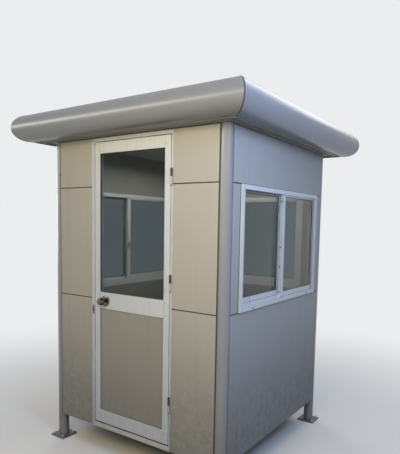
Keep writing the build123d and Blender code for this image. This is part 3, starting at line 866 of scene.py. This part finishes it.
def screw_head():
    """A pan head of radius 1 with a cross recess, looking up Z."""
    mesh = bmesh.new()
    arm, half, sides = 0.46, 0.12, 12
    cross = [(arm, -half), (arm, half), (half, half), (half, arm), (-half, arm), (-half, half),
             (-arm, half), (-arm, -half), (-half, -half), (-half, -arm), (half, -arm), (half, -half)]
    rings = [circle(sides, radius, rise, -math.pi / sides)
             for radius, rise in ((1.0, -0.1), (1.0, 0.16), (0.9, 0.38), (0.62, 0.52))]
    rings += [[Vector((x, y, rise)) for x, y in cross] for rise in (0.55, 0.22)]
    loft(mesh, rings, False)
    return mesh


def anchor_nut():
    """A washer, a hexagon nut and the rounded end of a stud; the stud's radius is 0.5."""
    mesh = bmesh.new()
    for sides, profile in ((20, [(1.12, 0.0), (1.12, 0.16), (1.06, 0.20), (0.45, 0.20)]),
                           (6, [(0.90, 0.19), (0.98, 0.27), (0.98, 0.86), (0.90, 0.98), (0.45, 0.98)]),
                           (12, [(0.5, 0.9), (0.5, 1.50), (0.40, 1.62), (0.12, 1.64)])):
        loft(mesh, [circle(sides, radius, rise) for radius, rise in profile], False)
    return mesh


# The tree copies these two objects, so they are never linked into the scene.
screw = bpy.data.objects.new("screw_head", mesh_data("screw_head", screw_head()))
nut = bpy.data.objects.new("anchor_nut", mesh_data("anchor_nut", anchor_nut()))
print("head faces:", len(screw.data.polygons), len(nut.data.polygons))

# %% The tree that sets them
fastening, given, result = start_group(
    "fastening",
    [("Places", "NodeSocketGeometry"), ("Head", "NodeSocketObject"), ("Size", NUMBER),
     ("Finish", "NodeSocketMaterial"), ("Seed", "NodeSocketInt")],
    [("Fasteners", "NodeSocketGeometry")], "GeometryNodeTree",
)
tree = fastening
points = add_node(tree, "GeometryNodeMeshToPoints", {"Mesh": given["Places"]})
aim = add_node(tree, "GeometryNodeInputNamedAttribute", {"Name": "aim"}, data_type="FLOAT_VECTOR")
aligned = add_node(tree, "FunctionNodeAlignRotationToVector", {"Vector": aim.outputs["Attribute"]}, axis="Z")
chance = add_node(tree, "FunctionNodeRandomValue", {"Seed": given["Seed"], 3: math.tau}, data_type="FLOAT")
spin = add_node(tree, "CombineXYZ", {"Z": chance.outputs[1]})
spin = add_node(tree, "FunctionNodeEulerToRotation", {0: spin.outputs[0]})
turned_head = add_node(tree, "FunctionNodeRotateRotation", {0: aligned.outputs[0], 1: spin.outputs[0]},
                       rotation_space="LOCAL")
head = add_node(tree, "GeometryNodeObjectInfo", {"Object": given["Head"]})
placed = add_node(tree, "GeometryNodeInstanceOnPoints",
                  {"Points": points.outputs[0], "Instance": head.outputs["Geometry"],
                   "Rotation": turned_head.outputs[0], "Scale": given["Size"]})
real = add_node(tree, "GeometryNodeRealizeInstances", {0: placed.outputs[0]})
coloured = add_node(tree, "GeometryNodeSetMaterial",
                    {"Geometry": real.outputs[0], "Material": given["Finish"]})
fill(result, {"Fasteners": coloured.outputs[0]})
print("fastening tree:", len(tree.nodes), "nodes")


# %% Setting a row of fasteners
def fasteners(name, head, places, size, material, body="booth", seed=1):
    """One mesh with a head at each (place, aim)."""
    data = bpy.data.meshes.new(name)
    data.from_pydata([place for place, _ in places], [], [])
    aims = data.attributes.new("aim", "FLOAT_VECTOR", "POINT")
    aims.data.foreach_set("vector", [value for _, direction in places for value in direction])
    holder = in_scene(name + "_points", data)
    modifier = holder.modifiers.new("fastening", "NODES")
    modifier.node_group = fastening
    values = {"Head": head, "Size": size, "Finish": material, "Seed": seed}
    for socket in fastening.interface.items_tree:
        if socket.name in values:
            modifier[socket.identifier] = values[socket.name]
    solid = bpy.data.meshes.new_from_object(holder.evaluated_get(bpy.context.evaluated_depsgraph_get()))
    bpy.data.objects.remove(holder)
    made = in_scene(name, solid)
    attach(made, body)
    print(name, len(places), "fasteners,", len(solid.polygons), "faces")


UP, DOWN = Vector((0, 0, 1)), Vector((0, 0, -1))
bright_steel = painted_metal("bright_steel", linear(178, 178, 174), 0.9, 0.3, splash=0.2, ledge=0.1)
dark_steel = painted_metal("dark_steel", linear(66, 62, 58), 0.7, 0.45, splash=0.2, ledge=0.1)
black_steel = painted_metal("black_steel", linear(34, 33, 34), 0.2, 0.5, splash=0.1, ledge=0.1)
zinc = painted_metal("zinc", linear(186, 188, 186), 0.85, 0.38, sparkle=0.2, grain=0.003, splash=0.3,
                     ledge=0.1)
print("fastener finishes:", [made.name for made in (bright_steel, dark_steel, black_steel, zinc)])

# %% Screws of the windows
SASH_SCREWS = (1.817, 1.497, 1.361, 1.180)
MEETING_EDGE_DEPTH, FRAME_PROUD = 0.006, -0.012
places = [(on_wall(side, -OVERLAP, height, MEETING_EDGE_DEPTH), wall_direction(side, along=-1))
          for side in WINDOW_WALLS for height in SASH_SCREWS]
fasteners("sash_screws", screw, places, 0.0056, black_steel, seed=3)
FRAME_SCREWS = [(along, height) for along in (-0.400, -0.257, 0.257, 0.400) for height in (1.877, 1.131)]
FRAME_SCREWS += [(along, height) for along in (-0.585, 0.585) for height in (1.29, 1.72)]
places = [(on_wall(side, along, height, FRAME_PROUD), wall_direction(side, outwards=1))
          for side in WINDOW_WALLS for along, height in FRAME_SCREWS]
fasteners("frame_screws", screw, places, 0.0034, bright_steel, seed=4)

# %% Anchor bolts of the feet
FOOT, HOLE, PLATE_TOP = 0.714, 0.050, 0.008
places = [(Vector((east * FOOT + across * HOLE, north * FOOT + deep * HOLE, PLATE_TOP)), UP)
          for east in (-1, 1) for north in (-1, 1) for across in (-1, 1) for deep in (-1, 1)]
fasteners("anchor_bolts", nut, places, 0.0100, zinc, seed=5)

# %% Rivets, seams and sealant of the roof
DECK, RIVET_OUT = 2.411, 0.104
SEAMS = (-0.27, 0.27)
places = [(on_wall(side, -0.75 + 0.25 * k, FLANGE_UNDERSIDE, -RIVET_OUT), DOWN)
          for side in DIRECTIONS for k in range(7)]
places += [(Vector((seam, -0.75 + 0.15 * k, DECK + 0.0001)), UP) for seam in SEAMS for k in range(11)]
fasteners("roof_rivets", screw, places, 0.0028, bright_steel, seed=6)


def deck_strips(reach, section):
    """A strip along each seam of the deck; the section is (across, rise) pairs."""
    mesh = bmesh.new()
    for seam in SEAMS:
        loft(mesh, [[Vector((seam + across, y, DECK + rise)) for across, rise in section]
                    for y in (-reach, reach)], False)
    return mesh


strips = deck_strips(0.8095, [(-0.019, 0.0), (-0.017, 0.0011), (0.015, 0.0011), (0.015, 0.0)])
piece("deck_seams", strips, roof_sheet)
strips = deck_strips(0.809, [(0.0140, 0.0), (0.0152, 0.0014), (0.0185, 0.0012), (0.0215, 0.0)])
piece("deck_sealant", strips, sealant)

# %% [markdown]
# ## Small metal pieces
# The hinges end in a domed cap above and the head of the pin below. The keeper of the lock is a dark plate
# on the jamb with two screws. The knob has a key plug outside, with a dark bar that paints the shade in its
# keyway, and a little oval turn inside. Behind each of its roses a dark ring shows as a thin rim: a gasket,
# and painted shadow of the rose. Round ones are turned: a profile of radius and rise swept about an axis,
# with small caps at both ends.


# %% Turned shapes
def turned(mesh, centre, axis, profile, segments=24, squeeze=1.0, ring=False):
    """Sweep (radius, rise) pairs about an axis, into a ring or something solid; squeeze makes it oval."""
    axis = Vector(axis).normalized()
    across = Vector((1, 0, 0)) if abs(axis.x) < 0.9 else Vector((0, 1, 0))
    other = axis.cross(across).normalized()
    rings = []
    for radius, rise in profile:
        middle = Vector(centre) + axis * rise
        rings.append([middle + across * (point.x * squeeze) + other * point.y
                      for point in circle(segments, radius, 0.0)])
    loft(mesh, rings, ring)


HINGE_HEIGHTS = (0.495, 1.278, 1.935)
HINGE_PLACE = (0.350, -0.760)
HINGE_HALF = 0.050
cap = [(0.0070, 0.0), (0.0070, 0.0012), (0.0054, 0.0030), (0.0022, 0.0038)]
pin_end = [(0.0062, 0.0), (0.0062, 0.0030), (0.0048, 0.0052), (0.0016, 0.0060)]
caps, pin_ends = bmesh.new(), bmesh.new()
for height in HINGE_HEIGHTS:
    turned(caps, (*HINGE_PLACE, height + HINGE_HALF + 0.0004), UP, cap)
    turned(pin_ends, (*HINGE_PLACE, height - HINGE_HALF + 0.0001), DOWN, pin_end)
piece("hinge_caps", caps, dark_steel, body="door", smooth=True)
piece("hinge_pin_ends", pin_ends, dark_steel, smooth=True)

# %% Keeper of the lock
KEEPER_ALONG, KEEPER_FROM, KEEPER_TO = -0.3405, 1.006, 1.064
plate = [(-0.0085, -0.0020), (-0.0085, -0.0030), (-0.0075, -0.0037), (0.0075, -0.0037), (0.0085, -0.0030),
         (0.0085, -0.0020)]
keeper = bmesh.new()
wall_bar(keeper, "front", (KEEPER_ALONG, KEEPER_FROM), (KEEPER_ALONG, KEEPER_TO), plate)
piece("lock_keeper", keeper, dark_steel)
places = [(on_wall("front", KEEPER_ALONG, height, -0.0036), wall_direction("front", outwards=1))
          for height in (1.015, 1.055)]
fasteners("keeper_screws", screw, places, 0.0040, bright_steel, seed=7)

# %% Key plug and turn
KNOB_X, KNOB_Z = -0.222, 1.1075
KNOB_FACE, TURN_FACE = -0.8168, -0.6545
FRONTWARDS, INWARDS = Vector((0, -1, 0)), Vector((0, 1, 0))
key_hole_rim = [(0.0088, 0.0), (0.0088, 0.0022), (0.0080, 0.0030), (0.0062, 0.0032), (0.0058, 0.0026),
                (0.0010, 0.0026)]
plug = bmesh.new()
turned(plug, (KNOB_X, KNOB_FACE, KNOB_Z), FRONTWARDS, key_hole_rim)
piece("key_plug", plug, finish["knob_steel"], body="knob")
# A dark bar sunk in the key plug paints the shade inside its keyway.
KEYWAY_HALF = 0.0036
keyway = bmesh.new()
wall_bar(keyway, "front", (KNOB_X, KNOB_Z - KEYWAY_HALF), (KNOB_X, KNOB_Z + KEYWAY_HALF),
         [(-0.0006, -0.0690), (-0.0006, -0.0696), (0.0006, -0.0696), (0.0006, -0.0690)])
piece("keyway", keyway, rubber, body="knob")
oval = [(0.0095, 0.0), (0.0095, 0.0050), (0.0085, 0.0062), (0.0020, 0.0066)]
turn_button = bmesh.new()
turned(turn_button, (KNOB_X, TURN_FACE, KNOB_Z), INWARDS, oval, squeeze=0.4)
piece("turn_button", turn_button, finish["knob_steel"], body="knob")

# %% Gaskets, painted shadow and screws of the roses
# A dark ring behind each rose: partly its gasket, partly painted shadow of the rose on the leaf.
rim = [(0.0355, 0.0), (0.0386, 0.0), (0.0386, 0.0010), (0.0374, 0.0017), (0.0355, 0.0017)]
rose_rims_and_shadow = bmesh.new()
for face, aim in ((-0.7528, FRONTWARDS), (-0.7192, INWARDS)):
    turned(rose_rims_and_shadow, (KNOB_X, face, KNOB_Z), aim, rim, segments=48, ring=True)
piece("rose_gaskets", rose_rims_and_shadow, rubber, body="door")
places = [(Vector((KNOB_X + sign * 0.026, -0.7127, KNOB_Z)), INWARDS) for sign in (-1, 1)]
fasteners("rose_screws", screw, places, 0.0034, bright_steel, body="door", seed=8)
places = [(on_wall("front", across, height, -0.003), wall_direction("front", outwards=1))
          for across in (-0.283, 0.303) for height in (1.062, 1.150, 2.140, 0.292)]
fasteners("leaf_screws", screw, places, 0.0032, dark_steel, body="door", seed=9)

# %% [markdown]
# ## Catches inside the windows
# A crescent catch holds the two sashes together where they overlap. It sits on the inner sash, half way up
# its meeting stile: a plate with two screws, a round boss, and a curved lever. The lever is a flat bar whose
# outline is drawn as an arc that gets narrower to its tip.


# %% Flat shapes
def flat_shape(mesh, side, outline, outer, inner):
    """A plate on a wall: an outline of (along, height) points between two depths."""
    loft(mesh, [[on_wall(side, along, height, depth) for along, height in outline]
                for depth in (outer, inner)], False)


def stadium(along, height, length, radius, segments=10, upright=False):
    """The outline of a bar with round ends."""
    points = []
    for sign in (1, -1):
        for k in range(segments + 1):
            angle = math.pi * k / segments - math.pi / 2
            run = sign * (length / 2 - radius + radius * math.cos(angle))
            rise = sign * radius * math.sin(angle)
            points.append((along + rise, height - run) if upright else (along + run, height + rise))
    return points


print("a stadium has", len(stadium(0, 0, 2, 1)), "points")

# %% Window catches
CATCH_HEIGHT, SASH_BACK, PLATE_THICK, SCREW_RISE = 1.455, 0.0445, 0.0028, 0.0265
LEVER_OUTER, LEVER_INNER, TAPER = 0.0215, 0.0120, 0.0002
sweep = [math.radians(-60 + 200 * k / 16) for k in range(17)]
arc = [(angle, LEVER_OUTER - TAPER * k) for k, angle in enumerate(sweep)]
arc += [(angle, LEVER_INNER + TAPER * k) for k, angle in reversed(list(enumerate(sweep)))]
lever = [(radius * math.cos(angle), CATCH_HEIGHT + radius * math.sin(angle)) for angle, radius in arc]
layers = ((stadium(0.0, CATCH_HEIGHT, 0.062, 0.008, upright=True), -0.0002, PLATE_THICK),
          (stadium(0.0, CATCH_HEIGHT, 0.0160, 0.0079), 0.0026, 0.0080),
          (lever, 0.0045, 0.0085),
          (stadium(0.0, CATCH_HEIGHT, 0.030, 0.0035), 0.0047, 0.0083))
catches = bmesh.new()
for side in WINDOW_WALLS:
    for outline, low, high in layers:
        flat_shape(catches, side, outline, SASH_BACK + low, SASH_BACK + high)
piece("window_catches", catches, zinc)
places = [(on_wall(side, 0.0, CATCH_HEIGHT + rise, SASH_BACK + PLATE_THICK),
           wall_direction(side, outwards=-1))
          for side in WINDOW_WALLS for rise in (-SCREW_RISE, SCREW_RISE)]
fasteners("catch_screws", screw, places, 0.0030, dark_steel, seed=10)

# %% [markdown]
# ## Drain slots of the windows
# Rain that blows into the sill tracks runs out through short slots in the front of the sill, two to a
# window. Each is drawn as two flat plates with round ends: a thin raised lip, and a dark plate inside it that
# paints the shade in the slot.

# %% Drain slots
DRAIN_HEIGHT = 1.1290
# Each slot is a dark plate that paints the shade inside the opening, within a thin raised lip.
slot_shade, lips = bmesh.new(), bmesh.new()
for side in WINDOW_WALLS:
    for along in (-0.44, 0.44):
        flat_shape(lips, side, stadium(along, DRAIN_HEIGHT, 0.034, 0.0042), -0.0126, -0.0119)
        flat_shape(slot_shade, side, stadium(along, DRAIN_HEIGHT, 0.030, 0.0026), -0.0128, -0.0124)
piece("drain_lips", lips, white_sash)
piece("drain_slots", slot_shade, rubber)

# %% [markdown]
# ## A strip left on the sill
# On the right window a short piece of protective film was never pulled off the lower rail of the inner
# sash, and another lies on the sill below it. Each is a pale patch with one dark torn edge, a fraction of a
# millimetre thick.

# %% Film on the rail
film_coat = painted_metal("film", linear(226, 227, 228), 0.0, 0.25, wear=0.0, bump=0.1)
film, torn_edge = bmesh.new(), bmesh.new()
for face, low, high in ((0.0235, 1.1625, 1.1945), (0.0180, 1.1483, 1.1617)):
    patch = [(-0.421, low), (-0.386, low + 0.001), (-0.388, high - 0.002), (-0.420, high)]
    flat_shape(film, "right", patch, face - 0.0002, face + 0.0001)
    strip = [(-0.4245, low), (-0.4212, low), (-0.4205, high), (-0.4235, high)]
    flat_shape(torn_edge, "right", strip, face - 0.0004, face)
piece("sill_film", film, film_coat)
piece("film_edge", torn_edge, sealant)

# %% View transform and the dressed box
bpy.context.scene.view_settings.view_transform = "Standard"
DRESSED_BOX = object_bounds()
print("dressed size:", [round(v, 3) for v in DRESSED_BOX[1] - DRESSED_BOX[0]])
